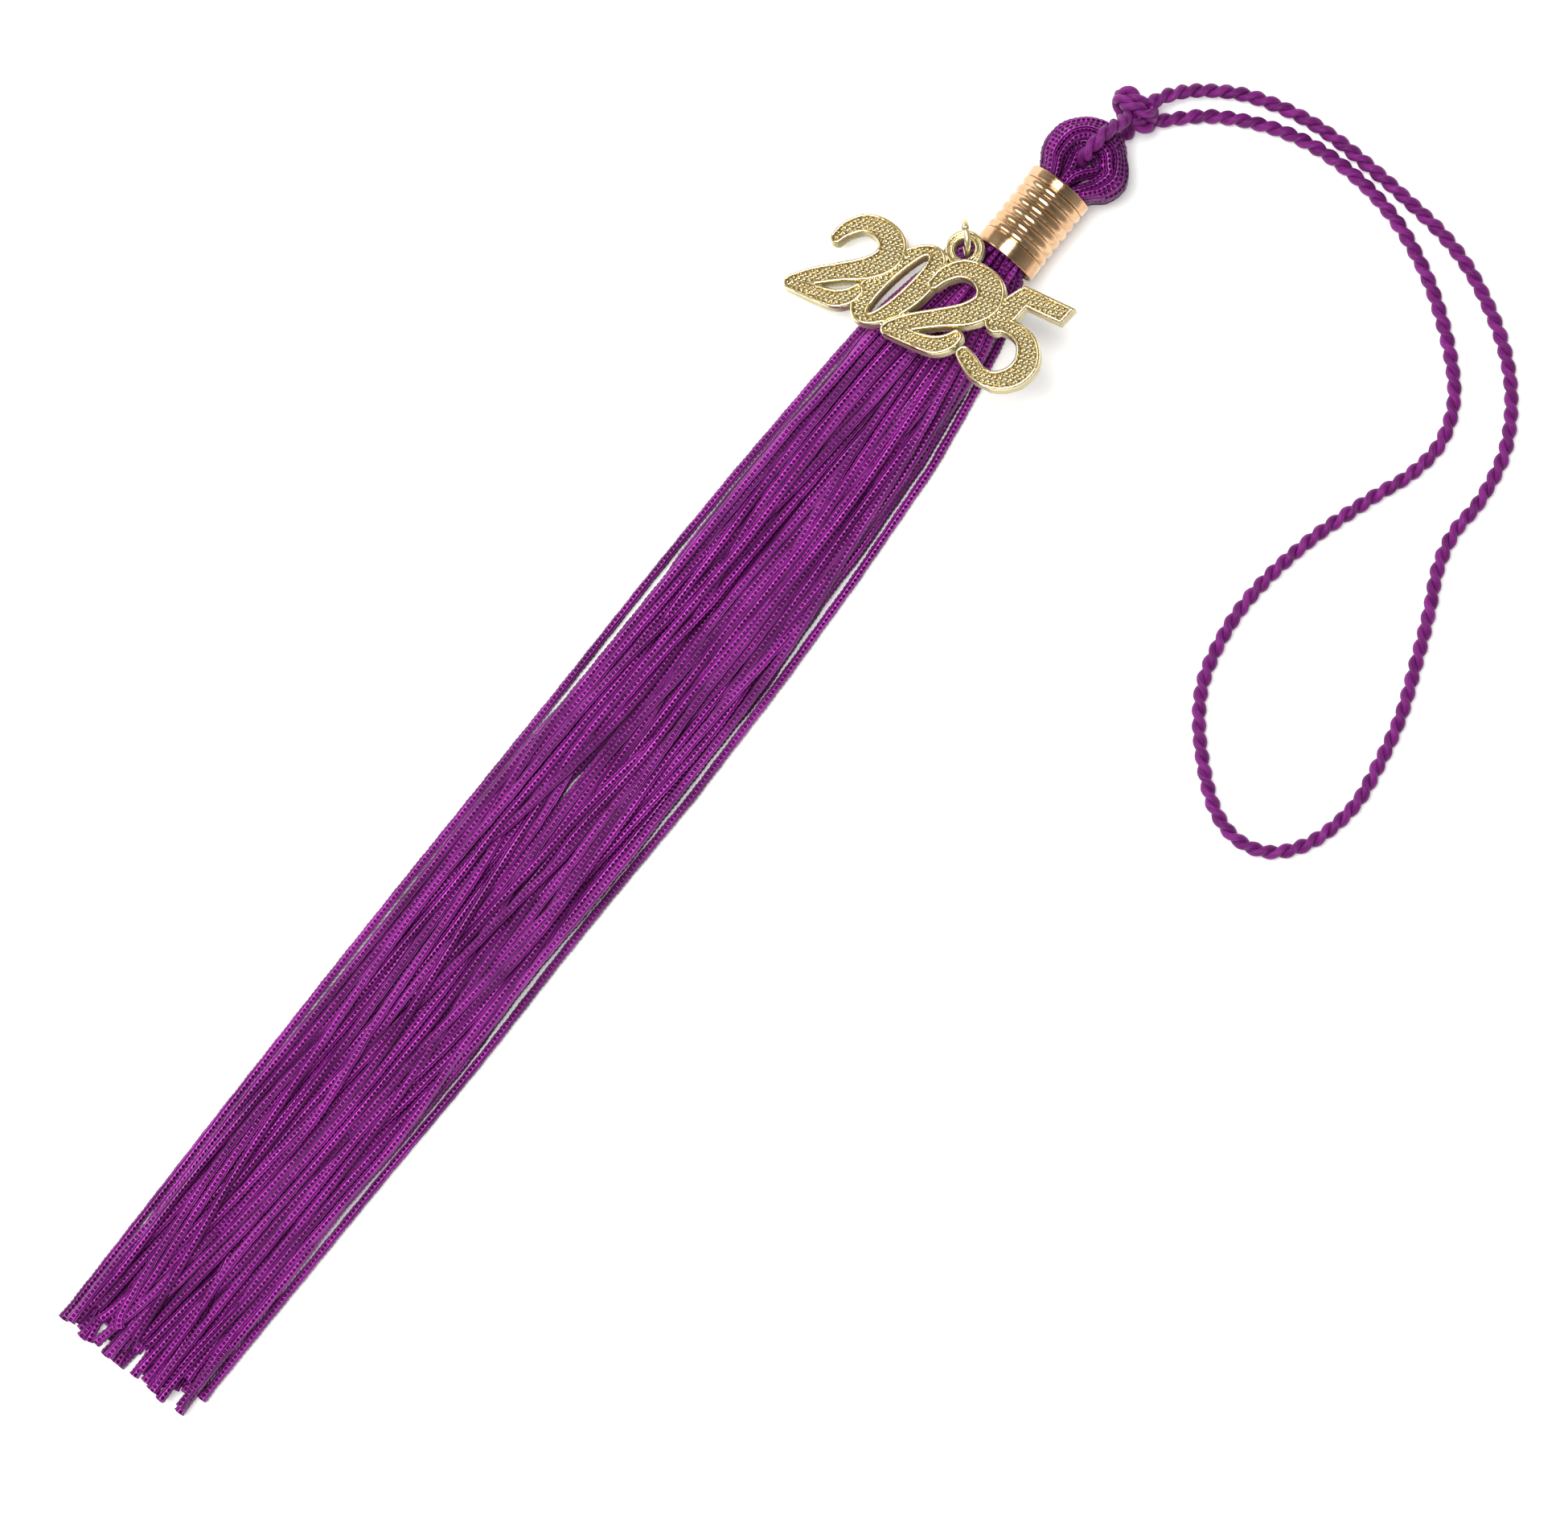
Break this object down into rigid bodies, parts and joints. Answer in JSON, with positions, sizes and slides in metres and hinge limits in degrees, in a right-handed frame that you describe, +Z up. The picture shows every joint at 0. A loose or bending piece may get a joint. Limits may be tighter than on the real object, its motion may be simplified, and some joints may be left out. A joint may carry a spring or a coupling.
{
  "type": "graduation tassel",
  "caption": "Graduation tassel of knitted strands in a ribbed metal ferrule, with a twisted cord loop for a cap's button and cast year numerals on a jump ring.",
  "frame": {"origin": "on the table, under the middle of the footprint of the tassel without its free cord loop", "axes": "+Z up from the table the tassel lies on, +Y along the tassel towards the hanger cord, +X to the right seen from above"},
  "size_m": [0.1149, 0.2542, 0.0159],
  "materials": {
    "knitted_rayon": "satin knitted rayon chainette",
    "twisted_cord": "satin two-ply twisted cord",
    "binding_thread": "matte thread",
    "rose_gold_foil": "thin bright rose-gold plated sheet, rolled grooves",
    "ring_wire": "pale gold plated wire, soft satin",
    "cast_gold": "pale gold plated casting, polished rims and knurled fields"
  },
  "bodies": {
    "tassel": {"strand_01": "knitted_rayon", "strand_02": "knitted_rayon", "strand_03": "knitted_rayon", "strand_04": "knitted_rayon", "strand_05": "knitted_rayon", "strand_06": "knitted_rayon", "strand_07": "knitted_rayon", "strand_08": "knitted_rayon", "strand_09": "knitted_rayon", "strand_10": "knitted_rayon", "strand_11": "knitted_rayon", "strand_12": "knitted_rayon", "strand_13": "knitted_rayon", "strand_14": "knitted_rayon", "strand_15": "knitted_rayon", "strand_16": "knitted_rayon", "strand_17": "knitted_rayon", "strand_18": "knitted_rayon", "strand_19": "knitted_rayon", "strand_20": "knitted_rayon", "strand_21": "knitted_rayon", "strand_22": "knitted_rayon", "strand_23": "knitted_rayon", "strand_24": "knitted_rayon", "strand_25": "knitted_rayon", "strand_26": "knitted_rayon", "strand_27": "knitted_rayon", "strand_28": "knitted_rayon", "ferrule": "rose_gold_foil", "binding_thread": "binding_thread"},
    "hanger": {"hanger_neck": "twisted_cord", "hanger_knot": "twisted_cord", "hanger_loop": "twisted_cord"},
    "ring": {"jump_ring": "ring_wire"},
    "charm": {"year_charm": "cast_gold"}
  },
  "joints": [
    {"name": "hanger_swing", "type": "hinge", "parent": "tassel", "child": "hanger", "pos_m": [0.00451, 0.1062, 0.0056], "axis": [0, 0, 1], "range_deg": [-25, 25]},
    {"name": "charm_lift", "type": "hinge", "parent": "tassel", "child": "ring", "pos_m": [-0.00159, 0.0867, 0.00795], "axis": [-0.7193, -0.6947, 0], "range_deg": [0, 18]},
    {"name": "charm_swing", "type": "hinge", "parent": "ring", "child": "charm", "pos_m": [-0.00013, 0.08519, 0.00931], "axis": [-0.2618, 0.0357, 0.9645], "range_deg": [-35, 4]}
  ]
}
